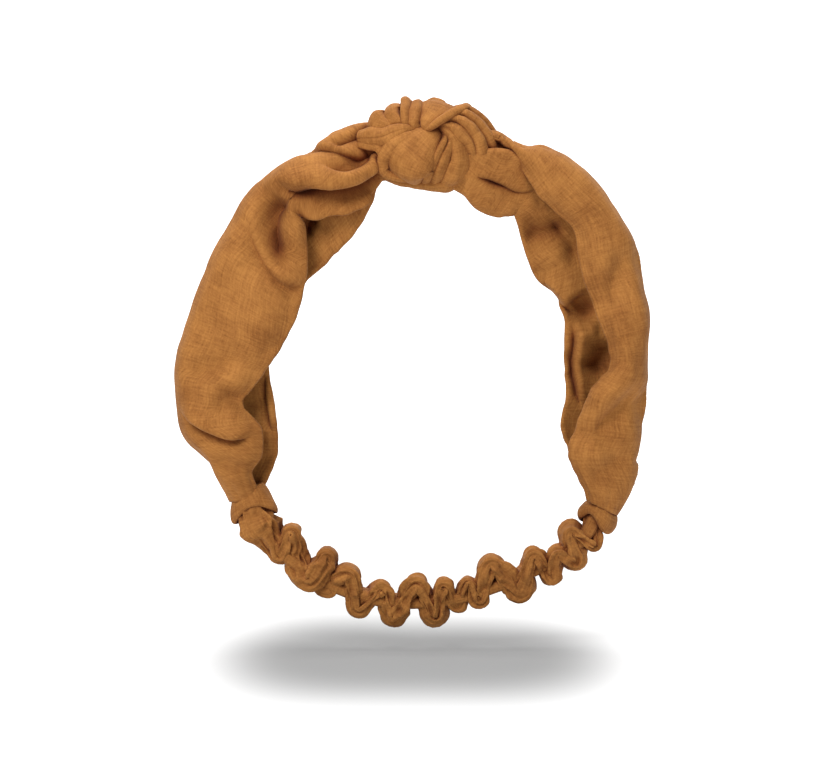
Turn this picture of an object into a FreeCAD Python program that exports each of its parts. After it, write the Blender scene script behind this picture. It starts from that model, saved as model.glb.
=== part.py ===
"""Knotted headband: a soft fabric strip tied in a knot over the crown, closed at the nape by a gathered
casing that holds a flat elastic.

Frame: millimetres, the origin at the centre of the loop that the head goes through. +Z points up to the
knot, +X to the right side as seen from the front, and the loop's axis is Y, with -Y towards the viewer.
"""

import FreeCAD, Part
import math
import os

import Sketcher
from FreeCAD import Placement, Rotation, Vector

doc = FreeCAD.newDocument("knotted_headband")
sheet = doc.addObject("Spreadsheet::Sheet", "dims")

# Driving dimensions: alias, value in millimetres or degrees, meaning.
DIMENSIONS = [
    ("knot_centre_x", 6.0, "centre of the knot, across the loop"),
    ("knot_centre_z", 93.0, "centre of the knot, above the loop's centre"),
    ("core_half_length", 25.0, "core strand, half its length along X"),
    ("core_radius", 6.4, "core strand, radius"),
    ("wrap_ring_radius", 12.0, "middle of the wraps, from the core's axis"),
    ("wrap_half_thickness", 4.8, "half the thickness of a wrap"),
    ("tuck_ring_radius", 17.8, "middle of the tuck under the front wrap"),
    ("tuck_half_thickness", 0.7, "half the thickness of that tuck"),
    ("hem_length", 11.0, "turned-in hem that the casing leaves through"),
    ("hem_neck_radius", 8.9, "hem, outer radius at the neck"),
    ("hem_lip_radius", 9.7, "hem, outer radius at the lip"),
    ("hem_bore_radius", 7.9, "hem, inner radius"),
    ("casing_radius", 7.5, "gathered casing, outer radius"),
    ("casing_bore_radius", 6.5, "gathered casing, inner radius"),
    ("casing_inset", 7.5, "from the hem's neck to the casing's end"),
    ("elastic_inset", 3.2, "from the hem's neck to the elastic's end"),
    ("elastic_width", 10.0, "flat elastic, width"),
    ("elastic_thickness", 1.2, "flat elastic, thickness"),
    ("nape_corner_x", -4.0, "corner that the casing's long bend rounds off"),
    ("nape_corner_z", -102.0, "the same corner"),
    ("nape_tangent", 58.0, "from that corner to where the long bend starts"),
    ("end_run", 12.0, "from a casing end to the corner of its short bend"),
    ("end_tangent", 8.0, "from that corner to where the short bend starts"),
    ("thread_radius", 0.2, "sewing thread"),
    ("stitch_length", 3.0, "one stitch of a seam"),
    ("stitch_pitch", 4.0, "from one stitch to the next"),
    ("tack_offset", 1.3, "joint stitch, off the elastic's middle plane"),
]

# Each wing is one half of the strip, folded lengthwise into a channel that opens towards the head. A
# station is one section of it: the fold's outer line (x, z), the middle of the two edges (x, z), half the
# channel's depth along Y, and the thickness of its doubled cloth.
WINGS = {
    "left": [
        (-25.5, 99.5, -18.5, 77.0, 9.5, 6.0),
        (-47.2, 88.9, -28.9, 53.8, 13.0, 5.5),
        (-71.8, 65.9, -42.5, 41.0, 15.0, 5.5),
        (-85.0, 34.7, -44.9, 31.0, 15.0, 5.5),
        (-93.6, 9.0, -57.3, 6.2, 15.0, 5.5),
        (-91.7, -15.2, -54.6, -15.2, 15.0, 5.5),
        (-83.0, -29.3, -55.8, -27.6, 12.0, 5.0),
        (-74.2, -43.6, -57.6, -38.4, 7.8, 4.8),
    ],
    "right": [
        (35.0, 98.0, 27.0, 72.5, 9.5, 6.0),
        (57.6, 89.7, 38.0, 64.0, 13.0, 5.5),
        (78.8, 67.9, 46.9, 48.2, 15.0, 5.5),
        (88.1, 45.2, 55.6, 33.8, 15.0, 5.5),
        (91.1, 17.9, 57.7, 15.0, 15.0, 5.5),
        (89.7, -9.4, 57.3, -9.4, 15.0, 5.5),
        (85.4, -32.4, 60.7, -28.0, 12.0, 5.0),
        (80.1, -49.3, 65.9, -42.1, 7.2, 4.6),
    ],
}
STATION_FIELDS = ("outer_x", "outer_z", "inner_x", "inner_z", "half_depth", "wall")

# The hems' necks (x, z) and the ways that they point (x, z).
HEMS = {"left": ((-65.2, -41.2), (0.30, -0.954)), "right": ((72.9, -46.0), (-0.45, -0.893))}

# Wraps of the knot: name, middle along X from the knot's centre, half width along X, and the angles about
# the core where it starts and ends. 0 degrees is the front, 90 the top and 180 the back.
WRAPS = [
    ("knot_front_wrap", -2.5, 12.0, -150.0, 60.0),
    ("knot_top_wrap", -5.5, 15.3, 62.0, 205.0),
    ("knot_left_wrap", -19.0, 4.2, -130.0, 58.0),
    ("knot_right_wrap", 17.0, 6.3, -25.0, 195.0),
    ("knot_under_pass", 15.2, 4.7, -125.0, -28.0),
    ("knot_bottom_tuck", -7.0, 9.0, -125.0, -60.0),
]


def fill_sheet():
    """Writes the driving dimensions and the wings' stations, each cell with an alias."""
    rows = list(DIMENSIONS)
    for side, stations in WINGS.items():
        for number, station in enumerate(stations):
            for field, value in zip(STATION_FIELDS, station):
                rows.append((station_alias(side, number, field), value, f"{side} wing station {number}"))
    for name, middle, half_width, start, end in WRAPS:
        rows.append((name + "_middle", middle, "along X from the knot's centre"))
        rows.append((name + "_half_width", half_width, "along X"))
        rows.append((name + "_start", start, "degrees about the core"))
        rows.append((name + "_sweep", end - start, "degrees about the core"))
    for row, (alias, value, meaning) in enumerate(rows, start=1):
        sheet.set(f"A{row}", meaning)
        sheet.set(f"B{row}", str(value))
        sheet.setAlias(f"B{row}", alias)
    doc.recompute()


def station_alias(side, number, field):
    return f"{side}_wing_{'abcdefgh'[number]}_{field}"


def dim(alias):
    return float(sheet.get(alias))


def origin_plane(body, role):
    return [f for f in body.Origin.OriginFeatures if f.Role == role][0]


# --- The wings ---------------------------------------------------------------------------------------


def channel_sketch(body, side, number):
    """One section of a wing: a channel whose bend touches the sketch's origin and whose legs run along +x."""

    def alias(field):
        return "dims." + station_alias(side, number, field)

    sketch = body.newObject("Sketcher::SketchObject", f"{side}_wing_section_{number}")
    sketch.AttachmentSupport = (origin_plane(body, "XY_Plane"), [""])
    sketch.MapMode = "FlatFace"
    run = f"{alias('inner_x')} - {alias('outer_x')}"
    rise = f"{alias('inner_z')} - {alias('outer_z')}"
    sketch.AttachmentOffset = Placement(Vector(), Rotation(Vector(0, 1, 0), 10))
    sketch.setExpression(".AttachmentOffset.Base.x", alias("outer_x"))
    sketch.setExpression(".AttachmentOffset.Base.z", alias("outer_z"))
    sketch.setExpression(".AttachmentOffset.Rotation.Angle", f"atan2(-({rise}); {run})")

    outer_x, outer_z, inner_x, inner_z, depth, wall = WINGS[side][number]
    reach = math.hypot(inner_x - outer_x, inner_z - outer_z)
    inner = depth - wall
    half_turn = (math.pi / 2, 3 * math.pi / 2)
    middle = Vector(depth, 0, 0)
    z_axis = Vector(0, 0, 1)
    bend = sketch.addGeometry(Part.ArcOfCircle(Part.Circle(middle, z_axis, depth), *half_turn))
    low_outer = sketch.addGeometry(line((depth, -depth), (reach, -depth)))
    low_edge = sketch.addGeometry(line((reach, -depth), (reach, -inner)))
    low_inner = sketch.addGeometry(line((reach, -inner), (depth, -inner)))
    hollow = sketch.addGeometry(Part.ArcOfCircle(Part.Circle(middle, z_axis, inner), *half_turn))
    high_inner = sketch.addGeometry(line((depth, inner), (reach, inner)))
    high_edge = sketch.addGeometry(line((reach, inner), (reach, depth)))
    high_outer = sketch.addGeometry(line((reach, depth), (depth, depth)))
    start, end, centre = 1, 2, 3
    joins = [
        (bend, end, low_outer, start),
        (low_outer, end, low_edge, start),
        (low_edge, end, low_inner, start),
        (low_inner, end, hollow, end),
        (hollow, start, high_inner, start),
        (high_inner, end, high_edge, start),
        (high_edge, end, high_outer, start),
        (high_outer, end, bend, start),
        (bend, centre, hollow, centre),
    ]
    for first, first_point, second, second_point in joins:
        sketch.addConstraint(Sketcher.Constraint("Coincident", first, first_point, second, second_point))
    for leg in (low_outer, low_inner, high_inner, high_outer):
        sketch.addConstraint(Sketcher.Constraint("Horizontal", leg))
    for edge in (low_edge, high_edge):
        sketch.addConstraint(Sketcher.Constraint("Vertical", edge))
    sketch.addConstraint(Sketcher.Constraint("PointOnObject", bend, centre, -1))
    sketch.addConstraint(Sketcher.Constraint("PointOnObject", low_edge, start, high_edge))
    for arc in (bend, hollow):
        for tip in (start, end):
            sketch.addConstraint(Sketcher.Constraint("Vertical", arc, tip, arc, centre))
    name_dimension(sketch, Sketcher.Constraint("Radius", bend, depth), "depth", alias("half_depth"))
    name_dimension(
        sketch, Sketcher.Constraint("Radius", hollow, inner), "hollow", f"{alias('half_depth')} - {alias('wall')}"
    )
    name_dimension(
        sketch, Sketcher.Constraint("DistanceX", -1, 1, bend, centre, depth), "setback", alias("half_depth")
    )
    name_dimension(
        sketch,
        Sketcher.Constraint("DistanceX", -1, 1, low_edge, start, reach),
        "reach",
        f"sqrt(({run})^2 + ({rise})^2)",
    )
    return sketch


def line(start, end):
    return Part.LineSegment(Vector(*start, 0), Vector(*end, 0))


def name_dimension(sketch, constraint, name, expression):
    """Adds a dimension to a sketch, names it and ties it to the sheet."""
    index = sketch.addConstraint(constraint)
    sketch.renameConstraint(index, name)
    sketch.setExpression(f"Constraints.{name}", expression)


def wing(side):
    """Half of the strip, from the knot to the hem, as a loft through its sections."""
    body = doc.addObject("PartDesign::Body", f"{side}_wing_body")
    sections = [channel_sketch(body, side, number) for number in range(len(WINGS[side]))]
    doc.recompute()
    loft = body.newObject("PartDesign::AdditiveLoft", f"{side}_wing_loft")
    loft.Profile = sections[0]
    loft.Sections = sections[1:]
    loft.Ruled = True
    body.Label = f"{side}_wing"
    return body


# --- The knot ----------------------------------------------------------------------------------------


def knot_core():
    """The strand that runs through the knot and joins the two wings."""
    core = doc.addObject("Part::Ellipsoid", "core")
    core.Angle1 = -90
    core.setExpression("Radius1", "dims.core_radius")
    core.setExpression("Radius2", "dims.core_half_length")
    core.setExpression("Radius3", "dims.core_radius")
    core.setExpression(".Placement.Base.x", "dims.knot_centre_x")
    core.setExpression(".Placement.Base.z", "dims.knot_centre_z")
    core.Label = "knot_core"
    return core


def knot_wrap(name, ring_radius, half_thickness):
    """A run of the strip wound about the core: an oval section turned about the core's axis."""
    body = doc.addObject("PartDesign::Body", name + "_body")
    sketch = body.newObject("Sketcher::SketchObject", name + "_section")
    sketch.AttachmentSupport = (origin_plane(body, "XY_Plane"), [""])
    sketch.MapMode = "FlatFace"
    # The section stands in a plane through the core's axis, turned to the wrap's starting angle.
    sketch.AttachmentOffset = Placement(Vector(), Rotation(Vector(1, 0, 0), 10))
    sketch.setExpression(".AttachmentOffset.Base.x", f"dims.knot_centre_x + dims.{name}_middle")
    sketch.setExpression(".AttachmentOffset.Base.z", "dims.knot_centre_z")
    sketch.setExpression(".AttachmentOffset.Rotation.Angle", f"180 deg - dims.{name}_start * 1 deg")
    centre = Vector(0, dim(ring_radius), 0)
    longer = (dim(name + "_half_width"), f"dims.{name}_half_width", Vector(1, 0, 0), "Horizontal")
    shorter = (dim(half_thickness), "dims." + half_thickness, Vector(0, 1, 0), "Vertical")
    if longer[0] < shorter[0]:
        longer, shorter = shorter, longer
    ends = [centre + way * size for size, _, way, _ in (longer, shorter)]
    oval = sketch.addGeometry(Part.Ellipse(*ends, centre))
    sketch.exposeInternalGeometry(oval)
    major, minor = 1, 2
    sketch.addConstraint(Sketcher.Constraint("PointOnObject", oval, 3, -2))
    sketch.addConstraint(Sketcher.Constraint(longer[3], major))
    name_dimension(
        sketch,
        Sketcher.Constraint("DistanceY", -1, 1, oval, 3, dim(ring_radius)),
        "ring",
        "dims." + ring_radius,
    )
    for axis, label, (size, alias, *_) in ((major, "long_axis", longer), (minor, "short_axis", shorter)):
        name_dimension(sketch, Sketcher.Constraint("Distance", axis, 2 * size), label, "2 * " + alias)
    turn = body.newObject("PartDesign::Revolution", name + "_turn")
    turn.Profile = sketch
    turn.ReferenceAxis = (sketch, ["H_Axis"])
    turn.Reversed = True
    turn.setExpression("Angle", f"dims.{name}_sweep")
    body.Label = name
    return body


# --- The hems, the casing and the elastic ------------------------------------------------------------


def along(side, distance):
    """A point on a hem's axis, that far from its neck."""
    (x, z), (way_x, way_z) = HEMS[side]
    return Vector(x + distance * way_x, 0, z + distance * way_z)


def way_of(side):
    way_x, way_z = HEMS[side][1]
    return Vector(way_x, 0, way_z).normalize()


def hem(side):
    """The strip's end, turned in and sewn: a short collar that flares a little towards its lip."""
    stand = Placement(along(side, 0), Rotation(Vector(0, 0, 1), way_of(side)))
    collar = doc.addObject("Part::Cone", f"{side}_hem_outside")
    collar.setExpression("Radius1", "dims.hem_neck_radius")
    collar.setExpression("Radius2", "dims.hem_lip_radius")
    collar.setExpression("Height", "dims.hem_length")
    bore = doc.addObject("Part::Cylinder", f"{side}_hem_bore")
    bore.setExpression("Radius", "dims.hem_bore_radius")
    bore.setExpression("Height", "dims.hem_length")
    collar.Placement = stand
    bore.Placement = stand
    cut = doc.addObject("Part::Cut", f"{side}_hem_cut")
    cut.Base = collar
    cut.Tool = bore
    cut.Label = f"{side}_end_hem"
    return cut


def nape_route(inset):
    """The wire that the casing and the elastic follow, starting that far inside each hem."""
    starts = {side: along(side, dim("casing_inset")) for side in HEMS}
    corners = {side: starts[side] + way_of(side) * dim("end_run") for side in HEMS}
    nape = Vector(dim("nape_corner_x"), 0, dim("nape_corner_z"))
    points = [along("left", inset), corners["left"], nape, corners["right"], along("right", inset)]
    tangents = [dim("end_tangent"), dim("nape_tangent"), dim("end_tangent")]
    edges = []
    last = points[0]
    for before, corner, after, tangent in zip(points, points[1:], points[2:], tangents):
        back = (before - corner).normalize()
        onward = (after - corner).normalize()
        half_turn = (math.pi - back.getAngle(onward)) / 2
        radius = tangent / math.tan(half_turn)
        enters = corner + back * tangent
        leaves = corner + onward * tangent
        inward = (back + onward).normalize()
        middle = corner + inward * (radius / math.cos(half_turn) - radius)
        edges.append(Part.LineSegment(last, enters).toShape())
        edges.append(Part.Arc(enters, middle, leaves).toShape())
        last = leaves
    edges.append(Part.LineSegment(last, points[-1]).toShape())
    return Part.Wire(edges)


def route_object(name, inset):
    route = doc.addObject("Part::Feature", name)
    route.Shape = nape_route(inset)
    return route


def swept(name, section, route):
    """Sweeps a section object along a route object."""
    sweep = doc.addObject("Part::Sweep", name)
    sweep.Sections = [section]
    sweep.Spine = (route, [f"Edge{n + 1}" for n in range(len(route.Shape.Edges))])
    sweep.Solid = True
    sweep.Frenet = False
    return sweep


def casing():
    """The narrow tube of cloth that the elastic gathers."""
    inset = dim("casing_inset")
    route = route_object("casing_route", inset)
    stand = Placement(along("left", inset), Rotation(Vector(0, 0, 1), way_of("left")))
    solids = []
    for name, alias in (("casing_outside", "casing_radius"), ("casing_inside", "casing_bore_radius")):
        circle = doc.addObject("Part::Circle", name + "_section")
        circle.setExpression("Radius", "dims." + alias)
        circle.Placement = stand
        solids.append(swept(name, circle, route))
    cut = doc.addObject("Part::Cut", "casing_cut")
    cut.Base, cut.Tool = solids
    cut.Label = "elastic_casing"
    return cut


def elastic():
    """The flat elastic inside the casing, with its width along Y so that it lies flat on the neck."""
    inset = dim("elastic_inset")
    route = route_object("elastic_route", inset)
    section = doc.addObject("Part::Plane", "elastic_section")
    section.setExpression("Length", "dims.elastic_thickness")
    section.setExpression("Width", "dims.elastic_width")
    turn = Rotation(Vector(0, 1, 0).cross(way_of("left")), Vector(0, 1, 0), way_of("left"), "ZXY")
    corner = Vector(-dim("elastic_thickness") / 2, -dim("elastic_width") / 2, 0)
    section.Placement = Placement(along("left", inset) + turn.multVec(corner), turn)
    sweep = swept("elastic_sweep", section, route)
    sweep.Label = "elastic_strip"
    return sweep


# --- The thread --------------------------------------------------------------------------------------


def stitch(start, end):
    """One straight stitch between two points."""
    return Part.makeCylinder(dim("thread_radius"), (end - start).Length, start, end - start)


def stitch_row(wire):
    """Stitches laid along a wire at the sheet's pitch."""
    pitch, length = dim("stitch_pitch"), dim("stitch_length")
    count = int(wire.Length / pitch)
    points = wire.discretize(Number=count * 4 + 1)
    share = length / pitch
    stitches = []
    for number in range(count):
        start, after = points[number * 4], points[number * 4 + 4]
        stitches.append(stitch(start, start + (after - start) * share))
    return Part.makeCompound(stitches)


def thread(name, shape):
    node = doc.addObject("Part::Feature", name + "_thread")
    node.Shape = shape
    node.Label = name
    return node


def wing_seam(side):
    """The strip's long seam, in the middle of the doubled cloth along the fold."""
    points = []
    for outer_x, outer_z, inner_x, inner_z, _, wall in WINGS[side][1:-1]:
        outer, inner = Vector(outer_x, 0, outer_z), Vector(inner_x, 0, inner_z)
        points.append(outer + (inner - outer).normalize() * (wall / 2))
    curve = Part.BSplineCurve()
    curve.interpolate(points)
    return thread(f"{side}_wing_seam", stitch_row(Part.Wire([curve.toShape()])))


def casing_seam():
    """The casing's long seam, in its wall on the side that faces the neck."""
    middle = (dim("casing_radius") + dim("casing_bore_radius")) / 2
    side_wall = nape_route(dim("casing_inset")).translated(Vector(0, middle, 0))
    return thread("casing_seam", stitch_row(side_wall))


def joint_stitches(side):
    """The row that sews the elastic's end into the hem: stitches close above and below the strip."""
    across = way_of(side).cross(Vector(0, 1, 0))
    start = along(side, dim("elastic_inset") + 0.5)
    run = way_of(side) * dim("stitch_length")
    stitches = []
    for level in (-dim("tack_offset"), dim("tack_offset")):
        for step in range(-2, 3):
            point = start + across * level + Vector(0, step * dim("elastic_width") / 5, 0)
            stitches.append(stitch(point, point + run))
    return thread(f"{side}_joint_stitches", Part.makeCompound(stitches))


def export(nodes):
    """Stops on any failed object or bad shape, then writes one STEP file per node."""
    doc.recompute()
    failed = [o.Label for o in doc.Objects if {"Invalid", "Error"} & set(o.State)]
    if failed:
        raise SystemExit(f"failed objects: {failed}")
    for node in nodes:
        shape = node.Shape
        if shape.isNull() or not shape.isValid() or not shape.Solids:
            raise SystemExit(f"{node.Label} has no valid solid")
    os.makedirs("parts", exist_ok=True)
    for node in nodes:
        node.Shape.exportStep(f"parts/{node.Label}.step")
        print(node.Label, len(node.Shape.Solids), "solids", round(node.Shape.Volume, 1), "mm3")


def main():
    fill_sheet()
    nodes = []
    for side in WINGS:
        nodes += [wing(side), wing_seam(side), hem(side), joint_stitches(side)]
    nodes.append(knot_core())
    for name, *_ in WRAPS:
        tuck = name == "knot_bottom_tuck"
        ring = "tuck_ring_radius" if tuck else "wrap_ring_radius"
        thickness = "tuck_half_thickness" if tuck else "wrap_half_thickness"
        nodes.append(knot_wrap(name, ring, thickness))
    nodes += [casing(), elastic(), casing_seam()]
    export(nodes)


main()
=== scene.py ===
"""The look of a knotted headband: folded cloth wings, a pleated knot, hems and a gathered casing, built
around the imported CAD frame. The object stands in the X-Z plane with the viewer on -Y.
"""

import math

import bpy
import numpy as np
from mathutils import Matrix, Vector, noise


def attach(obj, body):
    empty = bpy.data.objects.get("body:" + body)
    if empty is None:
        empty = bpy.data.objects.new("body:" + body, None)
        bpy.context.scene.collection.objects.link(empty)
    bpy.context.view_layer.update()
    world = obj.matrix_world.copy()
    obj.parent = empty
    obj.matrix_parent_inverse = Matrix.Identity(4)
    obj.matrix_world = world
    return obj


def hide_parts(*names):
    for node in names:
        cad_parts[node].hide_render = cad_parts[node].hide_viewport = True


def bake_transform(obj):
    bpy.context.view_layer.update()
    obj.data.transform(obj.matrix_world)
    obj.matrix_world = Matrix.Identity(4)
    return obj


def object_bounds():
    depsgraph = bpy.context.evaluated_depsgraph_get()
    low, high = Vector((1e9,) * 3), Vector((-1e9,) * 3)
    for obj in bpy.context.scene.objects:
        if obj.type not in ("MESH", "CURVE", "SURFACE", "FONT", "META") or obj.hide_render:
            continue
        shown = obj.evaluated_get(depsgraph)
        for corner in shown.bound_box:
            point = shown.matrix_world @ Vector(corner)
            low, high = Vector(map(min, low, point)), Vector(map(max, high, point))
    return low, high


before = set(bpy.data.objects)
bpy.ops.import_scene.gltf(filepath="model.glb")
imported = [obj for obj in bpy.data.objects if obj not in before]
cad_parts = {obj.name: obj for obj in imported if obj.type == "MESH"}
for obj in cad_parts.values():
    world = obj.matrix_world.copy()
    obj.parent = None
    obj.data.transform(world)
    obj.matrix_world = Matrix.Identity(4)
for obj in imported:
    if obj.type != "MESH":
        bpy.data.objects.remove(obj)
cad_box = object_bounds()

MM = 0.001
KNOT_MIDDLE = np.array([6.0, 0.0, 93.0])


# --- Curves and grids, in millimetres ---


def unit(vectors):
    """Rows of unit length."""
    lengths = np.linalg.norm(vectors, axis=-1, keepdims=True)
    return vectors / np.maximum(lengths, 1e-9)


def ease(values):
    """Smooth step from 0 to 1."""
    clipped = np.clip(values, 0.0, 1.0)
    return clipped * clipped * (3 - 2 * clipped)


def lengths_along(points):
    """How far along a polyline each of its points is."""
    steps = np.linalg.norm(np.diff(points, axis=0), axis=1)
    return np.concatenate([[0.0], np.cumsum(steps)])


def bell(distance, width):
    """1 in the middle, fading to nothing on both sides."""
    return np.exp(-((distance / width) ** 2))


def chord_knots(points):
    """0 to 1 along a polyline."""
    knots = lengths_along(points)
    return knots / knots[-1]


def smooth_through(knots, values, at):
    """A smooth curve through the values, read at the places given."""
    knots, values, at = (np.asarray(a, float) for a in (knots, values, at))
    gaps = np.diff(knots)[:, None]
    slopes = np.diff(values, axis=0) / gaps
    tangents = np.empty_like(values)
    tangents[0], tangents[-1] = slopes[0], slopes[-1]
    tangents[1:-1] = (slopes[:-1] * gaps[1:] + slopes[1:] * gaps[:-1]) / (gaps[1:] + gaps[:-1])
    index = np.clip(np.searchsorted(knots, at, side="right") - 1, 0, len(gaps) - 1)
    gap = gaps[index]
    s = (at - knots[index])[:, None] / gap
    rise = values[index + 1] - values[index]
    start_bend = gap * tangents[index] - rise
    end_bend = rise - gap * tangents[index + 1]
    return values[index] + s * rise + s * (1 - s) * ((1 - s) * start_bend + s * end_bend)


def spaced_path(points, count):
    """Points evenly spaced along a smooth curve through rows whose first three columns are a place."""
    points = np.asarray(points, float)
    dense = smooth_through(chord_knots(points[:, :3]), points, np.linspace(0, 1, count * 4))
    knots = chord_knots(dense[:, :3])
    at = np.linspace(0, 1, count)
    return np.stack([np.interp(at, knots, column) for column in dense.T], axis=1)


def full_turn(count):
    """Angles evenly spaced all the way round."""
    return np.linspace(0, 2 * math.pi, count, endpoint=False)


def rings_about(places, first_way, first, second_way, second):
    """A ring about each place of a path, its points set off along two ways across the path."""
    rings = places[:, None, :] + first_way[:, None, :] * first[..., None]
    return rings + second_way[:, None, :] * second[..., None]


def uv_grid(along, around):
    """A UV for each point of a grid, from its distance along the rows and around the columns."""
    return np.stack(np.broadcast_arrays(along[:, None], around[None, :]), axis=2)


def grid_normals(grid):
    along = np.gradient(grid, axis=0)
    across = np.gradient(grid, axis=1)
    return unit(np.cross(along, across))


def smoothed(grid, passes, closed=False):
    """A grid with each row and column eased towards its neighbours, its borders kept."""
    for _ in range(passes):
        inner = grid.copy()
        inner[1:-1] = (grid[:-2] + 2 * grid[1:-1] + grid[2:]) / 4
        grid = inner.copy()
        if closed:
            grid = (np.roll(inner, 1, axis=1) + 2 * inner + np.roll(inner, -1, axis=1)) / 4
        else:
            grid[:, 1:-1] = (inner[:, :-2] + 2 * inner[:, 1:-1] + inner[:, 2:]) / 4
    return grid


def wander(points, size, seed):
    """Smooth noise from about -1 to 1 at places in millimetres, with features of that size."""
    flat = points.reshape(-1, 3) / size + seed
    values = [noise.noise(Vector(place)) for place in flat]
    return np.array(values).reshape(points.shape[:-1])


# --- Meshes ---


def add_object(name, data):
    """A new object in the scene."""
    made = bpy.data.objects.new(name, data)
    bpy.context.collection.objects.link(made)
    return made


def make_piece(name, vertices, faces, uvs, material):
    """A smooth-shaded mesh object from millimetre vertices, with a UV in metres for each vertex."""
    mesh = bpy.data.meshes.new(name)
    mesh.from_pydata([tuple(v) for v in np.asarray(vertices) * MM], [], faces)
    layer = mesh.uv_layers.new(name="cloth")
    corners = np.empty(len(mesh.loops), dtype=int)
    mesh.loops.foreach_get("vertex_index", corners)
    layer.data.foreach_set("uv", (np.asarray(uvs)[corners] * MM).ravel())
    mesh.polygons.foreach_set("use_smooth", [True] * len(mesh.polygons))
    mesh.materials.append(material)
    mesh.update()
    return add_object(name, mesh)


def grid_faces(rows, columns, closed, offset=0):
    """Quads of a grid; closed joins the last column to the first."""
    faces = []
    spans = columns if closed else columns - 1
    for row in range(rows - 1):
        for column in range(spans):
            after = (column + 1) % columns
            low, high = offset + row * columns, offset + (row + 1) * columns
            faces.append((low + column, low + after, high + after, high + column))
    return faces


def tubes_piece(name, tubes, material):
    """Closed tubes, each a pair of rings of points and their UVs, capped at both ends, as one piece."""
    points, faces, uvs = [], [], []
    start = 0
    for rings, coordinates in tubes:
        rows, columns, _ = rings.shape
        faces += grid_faces(rows, columns, closed=True, offset=start)
        first = list(range(start, start + columns))
        last = list(range(start + (rows - 1) * columns, start + rows * columns))
        faces += [tuple(reversed(first)), tuple(last)]
        points.append(rings.reshape(-1, 3))
        uvs.append(coordinates.reshape(-1, 2))
        start += rows * columns
    return make_piece(name, np.concatenate(points), faces, np.concatenate(uvs), material)


def doubled_cloth(name, sheet, thickness, material):
    """A sheet of doubled cloth: an outer and an inner face that meet in a rounded fold at both edges."""
    rows, columns, _ = sheet.shape
    normals = grid_normals(sheet)
    steps = np.linalg.norm(np.diff(sheet, axis=1), axis=2)
    across = np.concatenate([np.zeros((rows, 1)), np.cumsum(steps, axis=1)], axis=1)
    along = lengths_along(sheet[:, columns // 2])
    from_edge = np.minimum(across, across[:, -1:] - across)
    rounding = np.clip(from_edge / (0.9 * thickness), 0.0, 1.0)
    half = (thickness / 2 * np.sqrt(1 - (1 - rounding) ** 2))[..., None]
    outer = sheet + normals * half
    inner = (sheet - normals * half)[:, -2:0:-1]
    rings = np.concatenate([outer, inner], axis=1)
    uv_outer = np.stack([np.broadcast_to(along[:, None], across.shape), across], axis=2)
    uv_inner = uv_outer[:, -2:0:-1] + [0.0, 0.13]
    uvs = np.concatenate([uv_outer, uv_inner], axis=1)
    around = rings.shape[1]
    faces = grid_faces(rows, around, closed=True)
    for row, flip in ((0, True), (rows - 1, False)):
        base = row * around
        for column in range(columns - 1):
            quad = [base + column, base + column + 1]
            quad += [base + (around - k) % around for k in (column + 1, column)]
            corners = list(dict.fromkeys(quad))
            faces.append(tuple(reversed(corners)) if flip else tuple(corners))
    return make_piece(name, rings.reshape(-1, 3), faces, uvs.reshape(-1, 2), material)


# --- Cloth simulation ---

# A millimetre of cloth is simulated as two centimetres, a size the solver is steady at.
SIM_SCALE = 0.02


def settle(grid, held, growth, frames, cap, bending):
    """How far each point of a coarse grid moves, in millimetres, when it settles as cloth with a little
    more of it than fits, so that it buckles into soft waves. Held is how firmly each point stays, from 0
    to 1, and cap is how far one may move."""
    rows, columns, _ = grid.shape
    mesh = bpy.data.meshes.new("settling_cloth")
    places = [tuple(v) for v in grid.reshape(-1, 3) * SIM_SCALE]
    mesh.from_pydata(places, [], grid_faces(rows, columns, closed=False))
    body = add_object("settling_cloth", mesh)
    group = body.vertex_groups.new(name="held")
    for index, weight in enumerate(held.ravel()):
        group.add([index], float(weight), "REPLACE")
    cloth = body.modifiers.new("cloth", "CLOTH")
    settings = cloth.settings
    settings.quality = 6
    settings.mass = 0.3
    settings.tension_stiffness = 25
    settings.compression_stiffness = 25
    settings.shear_stiffness = 10
    settings.bending_stiffness = bending
    settings.shrink_min = -growth
    settings.vertex_group_mass = "held"
    settings.effector_weights.gravity = 0
    cloth.point_cache.frame_end = frames
    for frame_number in range(1, frames + 1):
        bpy.context.scene.frame_set(frame_number)
    settled = body.evaluated_get(bpy.context.evaluated_depsgraph_get()).to_mesh()
    places = np.empty(rows * columns * 3)
    settled.vertices.foreach_get("co", places)
    bpy.data.objects.remove(body)
    bpy.data.meshes.remove(mesh)
    bpy.context.scene.frame_set(1)
    moved = places.reshape(grid.shape) / SIM_SCALE - grid
    distance = np.linalg.norm(moved, axis=2, keepdims=True)
    return moved * (cap * np.tanh(distance / cap) / np.maximum(distance, 1e-9))


def finer(grid, times):
    """A grid with more points along it and across it, on the same smooth surface."""
    for _ in range(2):
        count = len(grid)
        at = np.linspace(0, count - 1, (count - 1) * times + 1)
        denser = smooth_through(np.arange(count), grid.reshape(count, -1), at)
        grid = denser.reshape(len(at), *grid.shape[1:]).swapaxes(0, 1)
    return grid


# --- The wings ---

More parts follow.
